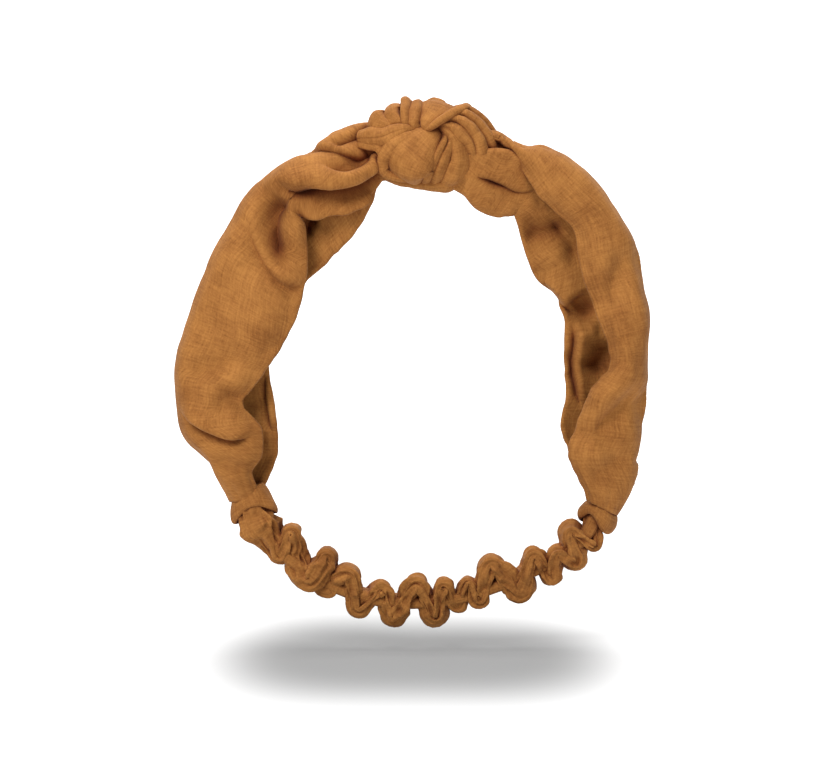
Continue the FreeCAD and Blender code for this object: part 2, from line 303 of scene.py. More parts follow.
# Stations from the knot to the hem: the outer fold (x, z), the front edge (x, z), the back edge (x, z)
# and how far the front and the back of the fold stand out from its middle plane.
LEFT_STATIONS = [
    (-8, 100, -10, 80, -10.5, 84, 8, 1),
    (-19.5, 101.2, -17.6, 73.2, -14.6, 78, 10, 0),
    (-29.3, 98.5, -25.7, 69.4, -18, 69, 12, -2),
    (-37.8, 93.2, -34.3, 68.2, -23.4, 59.6, 13, -2),
    (-46.6, 87.8, -40.6, 66.6, -29.6, 52.8, 13, -1),
    (-50.7, 85.3, -44, 65, -32, 50.4, 13, 0),
    (-54.4, 82.6, -43.4, 60.6, -34.2, 48, 13, 1),
    (-63.2, 75.3, -41.6, 52.6, -40.4, 42.5, 13, 4),
    (-70.6, 62.8, -42.7, 40.2, -46.4, 34.7, 13, 7),
    (-78, 47.6, -46, 27.3, -51.1, 25, 13, 9),
    (-84.6, 30, -51.9, 15.6, -56.6, 16, 13, 9),
    (-90.6, 14, -58.9, 5.5, -57.3, 7, 13, 8),
    (-91.2, -1.6, -66.3, -6.2, -55, -4.7, 13, 7),
    (-89.8, -17.2, -59.7, -16.4, -53.8, -17.9, 12, 6),
    (-83.6, -26.1, -59.7, -26.1, -54.6, -28.1, 11, 6),
    (-78.2, -33.9, -63.2, -33.2, -56.9, -35.1, 9, 6),
    (-74.4, -40.6, -61.6, -39.4, -58.9, -40.2, 7, 6),
    (-72.2, -45, -60.6, -43, -59.5, -43.6, 6, 6),
]
RIGHT_STATIONS = [
    (18, 101, 20, 96.6, 8, 80, 8, -6),
    (30.8, 98.2, 32.4, 94, 17.9, 74.6, 9, -8),
    (41, 94.5, 37.6, 89.6, 23.8, 68.6, 11, -8),
    (49.9, 91.1, 41.7, 82.7, 31.2, 66, 12, -7),
    (58.3, 87, 46.8, 74.9, 37.4, 67.3, 13, -5),
    (68.2, 78.4, 53.4, 67.9, 40, 60.1, 13, -4),
    (76.6, 68, 60.5, 61.2, 43.1, 49.9, 13, -2),
    (83.6, 55.9, 62.6, 50.3, 47.4, 41, 13, 1),
    (86.4, 43.9, 65.3, 39, 54.6, 35.4, 13, 3),
    (88.6, 31.6, 70.6, 26.9, 57.9, 28.1, 13, 5),
    (89.2, 19.9, 74.5, 16, 57.9, 17.2, 13, 6),
    (89, 5.5, 74.7, 7.4, 58.7, 5.5, 13, 7),
    (88.4, -5.5, 68.3, -1.6, 58.5, -4.7, 13, 7),
    (87.2, -17.4, 61.6, -15.2, 56.9, -16.4, 12, 7),
    (86.4, -28, 59.8, -25.7, 59.9, -25, 11, 7),
    (84.4, -37.6, 63.2, -35, 64.8, -35, 9, 6.5),
    (81.2, -44.6, 66, -40.8, 67.4, -41, 7.8, 6.8),
    (77.6, -49.8, 66.8, -43.6, 68, -43.4, 6.6, 6),
]
# Places across a ply: how far each is from the ply's edge towards the outer fold, the share of the fold's
# depth that it stands out by, and how far from the outer fold it counts as, 1 being the edge.
PLY_SECTION = [(0, 0.62, 1), (0.22, 0.98, 0.75), (0.62, 0.95, 0.4), (0.93, 0.5, 0.12), (1, 0, 0)]
WING_ROWS = 249
WING_COLUMNS = 169
SETTLING_STEP = 4
CLOTH_THICKNESS = 1.9
# How wide the change is from one ply to the other at the outer fold, as a share of a ply, and how far a
# fold reaches past the ends of its path.
PLY_CHANGE = 0.16
PAST_END = 2.5
# Where the seam runs on the fold: 0 at the outer fold, 1 at the back edge.
SEAM_ARM = 0.2
# Places for stitches along a seam; the first and the last stay empty.
STITCH_PLACES = 52
STITCH_STEPS = 12
STITCH_LENGTH = 9
STITCH_AROUND = 8


def wing_sheet(stations):
    """The middle surface of a wing, evenly spaced, and each point's place on the fold: -1 at the front
    edge, 0 at the outer fold and 1 at the back edge."""
    stations = np.array(stations, float)
    middle = (stations[:, 0:2] + stations[:, 2:4] + stations[:, 4:6]) / 3
    rows = smooth_through(chord_knots(middle), stations, np.linspace(0, 1, WING_ROWS))
    outer, front, back = rows[:, 0:2], rows[:, 2:4], rows[:, 4:6]
    front_depth, back_depth = rows[:, 6], rows[:, 7]
    plies = [(front, -front_depth, -1, row) for row in PLY_SECTION]
    plies += [(back, back_depth, 1, row) for row in PLY_SECTION[-2::-1]]
    controls, spots = [], []
    for edge, depth, way, (share, standing, spot) in plies:
        place = edge + (outer - edge) * share
        controls.append(np.stack([place[:, 0], standing * depth, place[:, 1]], axis=1))
        spots.append(way * spot)
    controls, spots = np.array(controls), np.array(spots)
    dense_at = np.linspace(0, 1, WING_COLUMNS * 3)
    section = smooth_through((spots + 1) / 2, controls.reshape(len(spots), -1), dense_at)
    section = section.reshape(len(dense_at), WING_ROWS, 3)
    sheet = np.empty((WING_ROWS, WING_COLUMNS, 3))
    arm = np.empty((WING_ROWS, WING_COLUMNS))
    even = np.linspace(0, 1, WING_COLUMNS)
    for row in range(WING_ROWS):
        knots = chord_knots(section[:, row])
        for axis in range(3):
            sheet[row, :, axis] = np.interp(even, knots, section[:, row, axis])
        arm[row] = np.interp(even, knots, dense_at * 2 - 1)
    return sheet, arm


def outward(sheet):
    """Normals that point out of a wing's fold."""
    normals = grid_normals(sheet)
    front_column = sheet.shape[1] // 5
    if normals[:, front_column, 1].mean() > 0:
        normals = -normals
    return normals


def near_path(sheet, path):
    """For each point: its signed distance from a path drawn on the front view, its place along the path
    from 0 to 1, and the direction across the path."""
    line = spaced_path([(x, 0.0, z) for x, z in path], 60)
    flat = sheet[..., [0, 2]].reshape(-1, 2)
    spots = line[:, [0, 2]]
    ways = unit(np.gradient(spots, axis=0))
    across = np.stack([-ways[:, 1], ways[:, 0]], axis=1)
    gaps = ((flat[:, None, :] - spots[None, :, :]) ** 2).sum(axis=2)
    nearest = gaps.argmin(axis=1)
    offset = flat - spots[nearest]
    signed = (offset * across[nearest]).sum(axis=1)
    past_end = np.abs((offset * ways[nearest]).sum(axis=1))
    shape = sheet.shape[:2]
    direction = np.zeros(sheet.shape)
    direction[..., 0] = across[nearest, 0].reshape(shape)
    direction[..., 2] = across[nearest, 1].reshape(shape)
    place = nearest.reshape(shape) / (len(spots) - 1)
    return signed.reshape(shape), past_end.reshape(shape), place, direction


def press_fold(sheet, arm, towards, fold):
    """Raises the cloth on one side of a path and lowers it on the other, leaning the raised side over."""
    signed, past_end, place, direction = near_path(sheet, fold["path"])
    ply = ease(0.5 - arm / PLY_CHANGE) if fold["ply"] == "front" else ease(0.5 + arm / PLY_CHANGE)
    fade_in, fade_out = fold["fades"]
    strength = ease(place / fade_in) * ease((1 - place) / fade_out)
    strength = strength * ply * bell(past_end, PAST_END)
    side = 0.5 * (1 + np.tanh(signed / fold["edge"]))
    (high, high_width), (low, low_width), (dip, dip_width) = fold["high"], fold["low"], fold["dip"]
    raised = high * side * bell(signed, high_width)
    lowered = low * (1 - side) * bell(signed, low_width)
    lowered += dip * bell(signed, dip_width)
    lean = fold["lean"] * side * bell(signed, 1.2 * high_width)
    moved = towards * ((raised - lowered) * strength)[..., None]
    return moved - direction * (lean * strength)[..., None]


def crease(ply, path, high, low, lean, edge, fades):
    """A fold raised on the left of its path and lowered on its right, each a (height, width), that leans
    over to the right. Edge is how wide the step is, and fades are the shares of the path at its two ends."""
    return dict(ply=ply, path=path, high=high, low=low, lean=lean, edge=edge, fades=fades, dip=(0, 1))


def hollow(ply, path, depth, width, fades):
    """A soft hollow along a path, or a crest if its depth is negative."""
    dip = (depth, width)
    return dict(ply=ply, path=path, high=(0, 1), low=(0, 1), lean=0, edge=1, fades=fades, dip=dip)


LEFT_FOLDS = [
    crease("front", [(-47, 89.4), (-43.9, 91.2), (-36.6, 92.5), (-31.7, 92), (-27.3, 90.8), (-20, 90)],
           (1.3, 2), (2.8, 2.8), 1, 0.3, (0.25, 0.02)),
    crease("front", [(-34, 93.6), (-27, 96.3), (-22.4, 98.3), (-17.6, 100.4)],
           (0.8, 2), (4.4, 2.4), 0.5, 0.3, (0.3, 0.02)),
    crease("front", [(-14, 90.5), (-21, 85), (-28, 82.6), (-34, 84), (-39, 87.5)],
           (2, 5), (4.6, 5), 1.4, 0.4, (0.02, 0.5)),
    crease("front", [(-57, 78), (-50, 78.2), (-43, 78), (-32, 77.2), (-23, 79.2), (-14, 85)],
           (3.8, 8), (9, 5.4), 1.6, 0.25, (0.3, 0.02)),
    hollow("front", [(-49, 76.6), (-42, 75.6), (-32, 74.6), (-24, 76), (-16.5, 80.5)],
           8.5, 2.1, (0.35, 0.02)),
    hollow("front", [(-46, 66.6), (-36, 68.6), (-25, 69.8), (-17, 73.4)], -4.6, 1.5, (0.3, 0.02)),
    hollow("front", [(-50, 75), (-55, 67), (-54.5, 60), (-51, 52), (-46, 46)], 11, 5.8, (0.15, 0.3)),
    hollow("front", [(-47.5, 67), (-46.2, 60), (-45, 52)], -2.4, 3.4, (0.3, 0.4)),
    crease("front", [(-65, 71), (-62.5, 60), (-57.4, 48.4), (-50, 41.2), (-42, 39)],
           (2, 5), (3.6, 4.6), 0, 1.1, (0.4, 0.1)),
    crease("front", [(-80, 49), (-76.5, 56), (-74.5, 61.5)],
           (0.9, 3), (1.2, 2.4), 0, 0.5, (0.3, 0.3)),
    hollow("front", [(-90, 7), (-82, 6.6), (-74, 9.2), (-64, 15)], 3.4, 4.5, (0.3, 0.4)),
    hollow("front", [(-80, -8), (-73, -5), (-67, 0)], 3.2, 4.5, (0.4, 0.3)),
    crease("front", [(-90, -8.5), (-83.5, -12), (-78, -15.2), (-71, -18.6), (-62, -18.6)],
           (3.2, 6), (3.4, 4), 1.6, 0.4, (0.25, 0.3)),
    hollow("front", [(-79, -27), (-72, -29), (-66, -34)], 2, 3.5, (0.4, 0.3)),
    crease("back", [(-58, 5), (-57.3, -6), (-55.5, -19)],
           (1.6, 2.5), (2.6, 2.5), 0, 0.4, (0.2, 0.2)),
    hollow("back", [(-43.5, 57), (-42.5, 63), (-37, 66.4)], 6.5, 3, (0.2, 0.3)),
]
RIGHT_FOLDS = [
    hollow("front", [(33, 96.6), (40, 93.4), (47, 91.4)], 2.6, 1.4, (0.1, 0.4)),
    hollow("front", [(84, 56), (80, 48), (75, 38), (72, 28)], 4, 6, (0.3, 0.3)),
    hollow("front", [(90, 2), (82, -8), (73, -15), (60, -21)], 4.4, 5.5, (0.3, 0.2)),
    hollow("front", [(85, 10), (77, 0), (66, -8)], -2, 5, (0.3, 0.3)),
    hollow("front", [(84, -26), (76, -31), (66, -35)], 1.8, 4, (0.3, 0.3)),
    crease("back", [(42, 86.5), (36, 89.8), (30, 91), (24, 90.6), (18, 90)],
           (2.6, 5), (6, 4), 0.8, 0.3, (0.1, 0.02)),
    crease("back", [(22, 81.8), (27.3, 81.6), (33, 79.4), (38.6, 76.2), (48, 76)],
           (1.2, 6), (3, 2.2), 0.8, 0.3, (0.15, 0.5)),
    hollow("back", [(25, 80.4), (29.5, 79.4), (34.5, 77)], 2.6, 1.5, (0.4, 0.4)),
    hollow("back", [(34, 66), (41, 69), (48, 72)], -2.4, 4.5, (0.2, 0.3)),
    hollow("back", [(40, 60), (49, 58.5), (58, 62)], 6, 4.8, (0.25, 0.2)),
    hollow("back", [(54, 66), (58.5, 59.5), (61.5, 52), (63, 44)], 5, 4, (0.3, 0.3)),
    crease("back", [(50, 41.5), (54.5, 37.5), (58, 33), (64, 26)],
           (0.8, 4), (4, 3), 0.8, 0.4, (0.1, 0.3)),
    hollow("back", [(61.5, 37), (66, 29.5), (70.5, 25)], 7, 5, (0.3, 0.3)),
    hollow("back", [(61, 20), (66, 21.5), (71, 23)], -2.4, 3, (0.3, 0.3)),
    hollow("back", [(75, 19), (73, 11), (68, 2)], 7, 5, (0.3, 0.3)),
    crease("back", [(63, 25), (63.3, 18), (62.8, 8), (64, -2), (65, -9)],
           (2.4, 3.5), (3.6, 3), 0.8, 0.4, (0.2, 0.2)),
]


def ripple(sheet, arm, side_seed):
    """Loose soft waves along the cloth, stronger away from its edges."""
    stretched = sheet * [0.9, 0.55, 0.9]
    waves = 1.1 * wander(stretched, 17.0, side_seed) + 0.35 * wander(stretched, 6.0, side_seed + 9.0)
    return waves * (1 - 0.5 * np.abs(arm))


def neck_pleats(arm, reach, count, depth):
    """Pleats cut into the cloth where it is drawn into the knot or the hem, fading away from it."""
    place = np.linspace(0, 1, len(arm))[:, None]
    fade = bell(place, reach) + 0.35 * bell(1 - place, 0.8 * reach)
    crests = np.abs(np.sin(count * math.pi * (arm + 0.13 + 0.1 * np.sin(9 * place))))
    return depth * fade * (crests - 1)


def seam_stitches(name, line, normals, material):
    """A row of short stitches along a line of points on the cloth."""
    path = spaced_path(np.concatenate([line, normals], axis=1), STITCH_STEPS * STITCH_PLACES)
    angle = full_turn(STITCH_AROUND)
    tubes = []
    for first in range(STITCH_STEPS, len(path) - STITCH_STEPS, STITCH_STEPS):
        stitch = path[first:first + STITCH_LENGTH]
        places, up = stitch[:, :3], unit(stitch[:, 3:])
        ways = unit(np.gradient(places, axis=0))
        side = np.cross(ways, up)
        arch = np.sin(np.linspace(0, math.pi, STITCH_LENGTH))
        radius = 0.12 + 0.16 * np.sqrt(arch)
        middle = places + up * (0.3 * arch - 0.1)[:, None]
        round_way = np.cos(angle)[None, :, None] * side[:, None]
        round_way = round_way + np.sin(angle)[None, :, None] * up[:, None]
        rings = middle[:, None] + radius[:, None, None] * round_way
        tubes.append((rings, uv_grid(np.arange(STITCH_LENGTH) * 0.3, angle)))
    return tubes_piece(name, tubes, material)


def make_wing(side, stations, folds, seed, cloth, thread):
    """A wing of doubled cloth and the stitches of the seam down its back."""
    sheet, arm = wing_sheet(stations)
    normals = outward(sheet)
    towards = np.where(arm[..., None] < 0, normals, -normals)
    change = normals * ripple(sheet, arm, seed)[..., None]
    change += normals * neck_pleats(arm, reach=0.13, count=4.5, depth=1.1)[..., None]
    change -= normals * (0.6 * bell(arm - SEAM_ARM, 0.02))[..., None]
    for fold in folds:
        change += press_fold(sheet, arm, towards, fold)
    coarse = sheet[::SETTLING_STEP, ::SETTLING_STEP]
    held = np.zeros(coarse.shape[:2])
    held[:2] = held[-2:] = 1.0
    held[:, :1] = held[:, -1:] = 0.7
    change += finer(settle(coarse, held, growth=0.035, frames=20, cap=1.6, bending=8.0), SETTLING_STEP)
    sheet = smoothed(sheet + change, passes=2)
    column = int(np.abs(arm[WING_ROWS // 2] - SEAM_ARM).argmin())
    up = outward(sheet)[::2, column]
    line = sheet[::2, column] + up * CLOTH_THICKNESS / 2
    stitches = seam_stitches(f"{side}_wing_stitches", line, up, thread)
    if side == "left":
        # It is laid out as a mirror image, so its columns are turned round to keep its outer face outside.
        sheet = sheet[:, ::-1]
    return doubled_cloth(f"{side}_wing_cloth", sheet, CLOTH_THICKNESS, cloth), stitches


# --- The knot ---


def lobe_profile(boundaries, tilt):
    """Sample places across the outer face, closer together at the valleys, and how far each stands up."""
    places, heights = [], []
    for left, right in zip(boundaries, boundaries[1:]):
        middle, half = (left + right) / 2, (right - left) / 2
        turn = np.linspace(0, math.pi, max(8, int(40 * half)), endpoint=False)
        within = -np.cos(turn)
        places.append(middle + half * within)
        heights.append(half * np.sqrt(np.clip(1 - np.abs(within) ** 3, 0, 1)) * (1 + tilt * within))
    places.append([boundaries[-1]])
    heights.append([0.0])
    return np.concatenate(places)[::-1], np.concatenate(heights)[::-1]


def strand(spine, pleats=(-1.0, 1.0), tilt=0.35, bulge=0.3, samples=90):
    """A run of cloth along a spine of (x, y, z, half width, half thickness), its outer face on the side
    away from the middle of the knot. Pleats are the boundaries between its rounded lobes, from -1 to 1."""
    path = spaced_path(spine, samples)
    places, wide, thick = path[:, :3], path[:, 3], path[:, 4]
    ways = unit(np.gradient(places, axis=0))
    up = places - KNOT_MIDDLE
    up = unit(up - ways * (up * ways).sum(axis=1, keepdims=True))
    side = np.cross(ways, up)
    across, bump = lobe_profile(pleats, tilt)
    under = np.linspace(0, math.pi, 20)[1:-1]
    all_across = np.concatenate([across, np.cos(under)])
    base = np.concatenate([np.sqrt(np.clip(1 - np.abs(across) ** 2.6, 0, 1)), -0.8 * np.sin(under)])
    lift = np.concatenate([bump, np.zeros(len(under))])
    place = np.linspace(0, 1, samples)[:, None]
    drift = 0.03 * np.sin(7 * place + 9 * all_across[None, :]) * (1 - all_across[None, :] ** 2)
    width_offset = wide[:, None] * (all_across[None, :] + drift)
    height_offset = thick[:, None] * (base[None, :] - 1)
    height_offset = height_offset + wide[:, None] * bulge * (lift[None, :] - bump.max())
    rings = rings_about(places, side, width_offset, up, height_offset)
    crumple = 0.35 * wander(rings, size=4.5, seed=2.0) + 0.12 * wander(rings, size=1.6, seed=7.0)
    rings = rings + up[:, None, :] * crumple[..., None]
    girth = np.concatenate([[0.0], np.cumsum(np.hypot(np.diff(all_across), np.diff(base)))])
    return rings, uv_grid(lengths_along(places), girth * wide.mean())


def run(*spine, **shape):
    """A strand's spine and what else shapes it."""
    return dict(spine=spine, **shape)


# The knot's pieces: the node each stands for, how wide and long its cloth is when it lies flat, in metres,
# and its strands, whose places are on their outer faces. The roll inside them has no flat cloth.
KNOT = {
    "knot_top_pleats": ("knot_top_wrap", (0.080, 0.083), [
        run((-6, -11, 98.5, 1.6, 2), (-11.5, -12.4, 101, 3, 2.5), (-17, -9.5, 103, 5.2, 3),
            (-18.2, -3, 103.4, 5.8, 4), (-17, 5, 102.2, 6, 4), (-11, 12, 98, 6, 4), (-5, 13.5, 90, 6, 4),
            (1, 9, 83, 5, 4), bulge=0.15),
        run((-3.5, -11, 99, 1.6, 2), (-7.4, -12.8, 102.6, 2.8, 2.5), (-11.4, -10, 105.2, 5.2, 3),
            (-12.2, -3.5, 106.7, 6.2, 4), (-11, 5, 106, 6, 4), (-6.5, 12, 102, 5, 4), (-3, 14.5, 93, 5, 4),
            (2, 10, 83, 4, 4), bulge=0.15),
        run((-4.6, -11, 98.6, 1, 2), (-5, -13.4, 102.2, 1.6, 2), (-5.2, -11.5, 107.6, 1.9, 3),
            (-4.8, -5, 112, 2.2, 4), (-4.8, 3, 110.6, 3, 4), (-3, 12, 104, 5, 4), (0, 15.5, 95, 6, 4),
            (4, 11, 84, 5, 4), bulge=0.1),
        run((-1.8, -11.4, 98.4, 1.3, 2), (-2.2, -13.8, 101, 2.2, 2.5), (-1.6, -11.8, 106.8, 3, 3),
            (-1, -5, 110.6, 3.6, 4), (-0.5, 4, 110.3, 4.2, 4), (2, 13, 103, 5, 4), (4, 15.5, 95, 6, 4),
            (6, 12, 84, 5, 4), tilt=0.6, bulge=0.2),
        run((1.6, -12, 98.4, 1.2, 2), (2.8, -14.2, 101, 2.8, 2.5), (5.4, -13.2, 105.2, 4.8, 3),
            (9.8, -6.5, 110, 8.2, 4), (11, 3, 109.5, 8.6, 4), (11, 12, 104, 8, 4), (11, 15.5, 95, 7, 4),
            (9, 12, 83, 6, 4), tilt=-0.2, bulge=0.12),
        run((7.5, 0, 108, 3, 2), (8.2, 4.5, 112, 4.4, 3), (7.8, 9, 110, 4.6, 3), (7, 15, 101, 4.6, 3),
            (7, 16, 94, 4, 3), bulge=0.1),
        run((2.6, -13.4, 98.8, 0.8, 1.2), (5.8, -15.8, 101, 1.3, 1.6), (9.6, -16, 103.8, 1.6, 2),
            (14.2, -14, 106.6, 1.8, 2.2), (19.2, -9.4, 108.8, 2, 2.5), (21, -2, 109.2, 2.6, 3),
            (19, 7, 106.5, 5, 3), (16, 13, 98, 6, 3), (12, 12, 86, 5, 3), bulge=0.1),
    ]),
    "knot_front_lobe": ("knot_front_wrap", (0.035, 0.051), [
        run((8.5, -10, 101, 3.5, 2), (5, -15, 98, 6.3, 3), (0, -18, 93.2, 9.4, 3.8),
            (-4.4, -18.4, 87.4, 10.6, 4.4), (-5.4, -15.4, 82, 9.2, 4.2), (-3, -8, 79, 5.5, 3),
            (0, 1, 80.5, 4.5, 3), tilt=0.1, bulge=0.14),
        run((12.8, -11.5, 99.5, 0.8, 1), (11.4, -15.8, 95, 1.4, 1.6), (7.8, -17, 87.8, 2.1, 2.2),
            (4.4, -14.5, 80.6, 2.4, 2.4), (4, -7, 77.8, 2.2, 2), (5, 2, 80, 2, 2), tilt=0.6),
        run((13.5, -11.5, 99.5, 0.8, 1), (14, -15, 94.4, 1.6, 1.8), (12, -16, 87.8, 2.9, 2.4),
            (9.2, -13.5, 80.6, 3.5, 2.6), (8.5, -6, 77.4, 3.2, 2), (9, 2, 80, 3, 2), tilt=0.7),
    ]),
    "knot_under_band": ("knot_under_pass", (0.018, 0.041), [
        run((8, -11, 103, 0.9, 1.5), (13.2, -14, 99.6, 2.3, 2.2), (17.9, -14.2, 93.8, 4, 3),
            (19.2, -13.4, 87.6, 4.9, 3.6), (17.2, -11.8, 81, 5.4, 3.8), (13.5, -5, 76.4, 5.4, 3),
            (11, 4, 79, 4.5, 2), tilt=0.1, bulge=0.1),
    ]),
    "knot_right_pleats": ("knot_right_wrap", (0.048, 0.043), [
        run((8.5, -12.4, 102.4, 0.8, 1.2), (14.5, -14.4, 101.8, 2.2, 2), (18.8, -14.8, 98.8, 3, 2.6),
            (21.9, -14, 95, 2.4, 2.6), (23.2, -12.8, 91, 1.8, 2.4), (23.5, -8, 88, 1.6, 2.4), tilt=0.6),
        run((10, -12.2, 103.4, 0.8, 1.2), (16.6, -13.4, 104.8, 1.8, 2), (21.5, -13.6, 102.4, 2.4, 2.4),
            (24.8, -13, 98.6, 2.8, 2.6), (27, -12.2, 94.8, 3.3, 2.8), (28, -10.6, 91, 3.6, 2.8),
            (28, -6, 87.5, 3.2, 2.5), tilt=0.6),
        run((13, -11.2, 105, 0.8, 1.2), (19.6, -11.2, 106.9, 1.9, 2), (25.6, -10.4, 103.4, 2.6, 2.6),
            (29.2, -9, 99, 2.8, 2.8), (31.2, -7.8, 94.8, 2.6, 2.8), (32, -6, 91.2, 2.2, 2.5),
            (31.6, -2, 88, 2, 2), tilt=0.6),
        run((14, -7.5, 107, 1.4, 1.2), (20.6, -6.4, 108.7, 2.6, 2.5), (27.4, -4.6, 104.6, 3, 3),
            (31.4, -2.6, 99.4, 3, 3), (33, -0.6, 94, 3, 3), (32, 2, 88, 3, 2.5), tilt=0.6),
        run((16, -2, 107.5, 3, 2), (23, 0, 106.5, 5, 4), (29, 2, 100.5, 6, 4), (31, 3, 92, 6, 4),
            (29, 3, 85, 4, 3), pleats=(-1, -0.2, 1)),
    ]),
    "knot_left_crescent": ("knot_left_wrap", (0.030, 0.037), [
        run((-22.8, -8, 97, 3, 2.5), (-19.4, -12, 97.4, 3.8, 3), (-13.8, -14, 97.8, 4.4, 3.2),
            (-8.3, -15, 99.8, 3.6, 3), (-3.5, -14.8, 100.5, 2, 2), (1, -13, 99.4, 1, 1.5),
            (5, -10, 97.5, 0.8, 1), pleats=(-1, 0.3, 1), bulge=0.16),
        run((-26, 3, 94.6, 1, 1), (-22.5, 5, 96.6, 4, 3), (-16, 8, 99, 7, 4), (-8, 10, 99.5, 8, 4),
            (0, 9, 97, 6, 3), pleats=(-1, 0.1, 1)),
    ]),
    "knot_left_curl": (None, (0.015, 0.050), [
        run((4, -12.5, 98, 1, 1.2), (-2, -15.6, 98, 2, 1.8), (-7.8, -16.2, 95.6, 3.4, 2.6),
            (-12.4, -15.2, 91.4, 3.7, 3.2), (-14.4, -13.6, 86.8, 2.4, 3.2), (-13.4, -12.6, 82.4, 2, 2.8),
            (-7.5, -12.2, 80, 1.6, 2), (-1, -11.5, 79.6, 1.4, 1.6), (6, -6, 80.5, 1.4, 1.4), bulge=0.15),
        run((-25.5, -5, 93.6, 1, 2), (-20.6, -10.5, 93.4, 1.9, 2.4), (-15.8, -13.2, 92, 2.2, 2.6),
            (-13.2, -13.6, 88, 1.8, 2.4), (-12, -12, 84, 1.2, 2), bulge=0.15),
    ]),
    "knot_bottom_strand": ("knot_bottom_tuck", (0.048, 0.041), [
        run((-16, -1, 84, 3, 2), (-11, -4.5, 79.8, 2.4, 2.2), (-3, -7.5, 77.6, 2.4, 2.4),
            (5, -9.5, 76.4, 2.6, 2.4), (13, -8, 76, 3.2, 2.4), (20, 0, 80, 4, 2), bulge=0.1),
        run((-14, 3, 82, 4, 3), (-8, 2, 79, 6, 3), (2, 1, 77.2, 7, 3), (12, 2, 76.4, 7, 3),
            (20, 4, 80, 5, 3), bulge=0.1),
        run((-17, 2, 86, 1.5, 1.5), (-12, 9, 85, 4.5, 3), (-3, 14.2, 83.8, 5.5, 3), (7, 15.8, 83.2, 5.8, 3),
            (17, 13.6, 84.2, 5.2, 3), (25, 6, 86, 2, 1.5), pleats=(-1, 0.2, 1), bulge=0.12),
    ]),
    "knot_core_roll": ("knot_core", None, [
        run((-22, 0, 98, 6, 6), (-13, 1, 101, 10, 9), (0, 1, 103, 13, 11), (12, 1, 102.6, 13, 11),
            (22, 0, 99, 9, 9), (30, 0, 93.5, 5, 5), bulge=0.05),
    ]),
}


def make_knot(material):
    pieces = []
    for name, (stands_for, flat, strands) in KNOT.items():
        piece = tubes_piece(name, [strand(**settings) for settings in strands], material)
        if stands_for:
            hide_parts(stands_for)
        pieces.append(piece)
    return pieces


# --- The casing and the elastic ---

# The gathered tube runs up and down between the tips of its puckers: x, y, z, half width in the loop's
# plane and half depth.
CASING_RUN = [
    (-64.8, 0, -44.5, 5, 6.5), (-61, -2, -54, 7.2, 7.5), (-56.4, 1, -61, 4.8, 7),
    (-53.2, 2, -66.8, 4, 7), (-48.4, -2, -56.6, 3.8, 7.2), (-46.6, 1, -68, 5.2, 7),
    (-41.6, -2, -75.4, 5.4, 7.4), (-34.4, -2, -66, 4, 7.2), (-35.4, 2, -79, 4.8, 7.2),
    (-26.4, -2, -73.6, 4, 7.2), (-22.2, 1, -87.2, 3.2, 7), (-12.8, -1, -79.2, 3, 7),
    (-9.2, 2, -91.2, 3.2, 7), (0.4, -2, -77.2, 3.2, 7.2), (7.9, 1, -90.6, 2.9, 7),
    (10.8, -2, -77.8, 3, 7.2), (16.4, 2, -86.4, 3.2, 7), (20.4, -2, -76.2, 2.8, 7),
    (24.8, 1, -83.8, 3.2, 7), (29.2, -2, -69.4, 3.5, 7.2), (41, 1, -80.4, 4.6, 7.4),
    (46.3, -2, -66, 3.2, 7.2), (53.4, 1, -75.2, 3.8, 7), (55.2, -2, -65.2, 3.2, 7),
    (62.6, 1, -69, 3.6, 7), (60.6, -2, -56.6, 3.2, 7), (70.2, -1, -62.6, 2, 6),
    (68.8, 2, -54, 3.4, 4.6), (72.4, 2, -46.4, 4.2, 4.4),
]
CASING_ROWS = 1100
CASING_AROUND = 80
# How many rows the casing's turning is averaged over, and how far towards the middle of a turn its inner
# side may reach, as a share of the turn's radius.
TURNING_ROWS = 9
TURNING_REACH = 0.9
# How long its drawn-out ridges and its small puffs are along the tube.
LONG_PUFF = 15.0
SHORT_PUFF = 6.0


def squared(values, power):
    """A sine or cosine with its round top made flatter."""
    return np.sign(values) * np.abs(values) ** power


def puffs(along, angle):
    """Sharp ridges drawn out along the tube and small creased puffs."""
    around = np.stack([np.cos(angle), np.sin(angle)], axis=1)
    rows = np.broadcast_to(along[:, None, None], (len(along), len(angle), 1))
    rings = np.broadcast_to(around[None], (len(along), len(angle), 2))
    long_ones = np.concatenate([rows / LONG_PUFF, rings * 1.3], axis=2)
    short_ones = np.concatenate([rows / SHORT_PUFF, rings * 2.6], axis=2)
    return 0.6 - 1.7 * np.abs(wander(long_ones, 1.0, 3.0)) + 1.3 * np.abs(wander(short_ones, 1.0, 8.0))


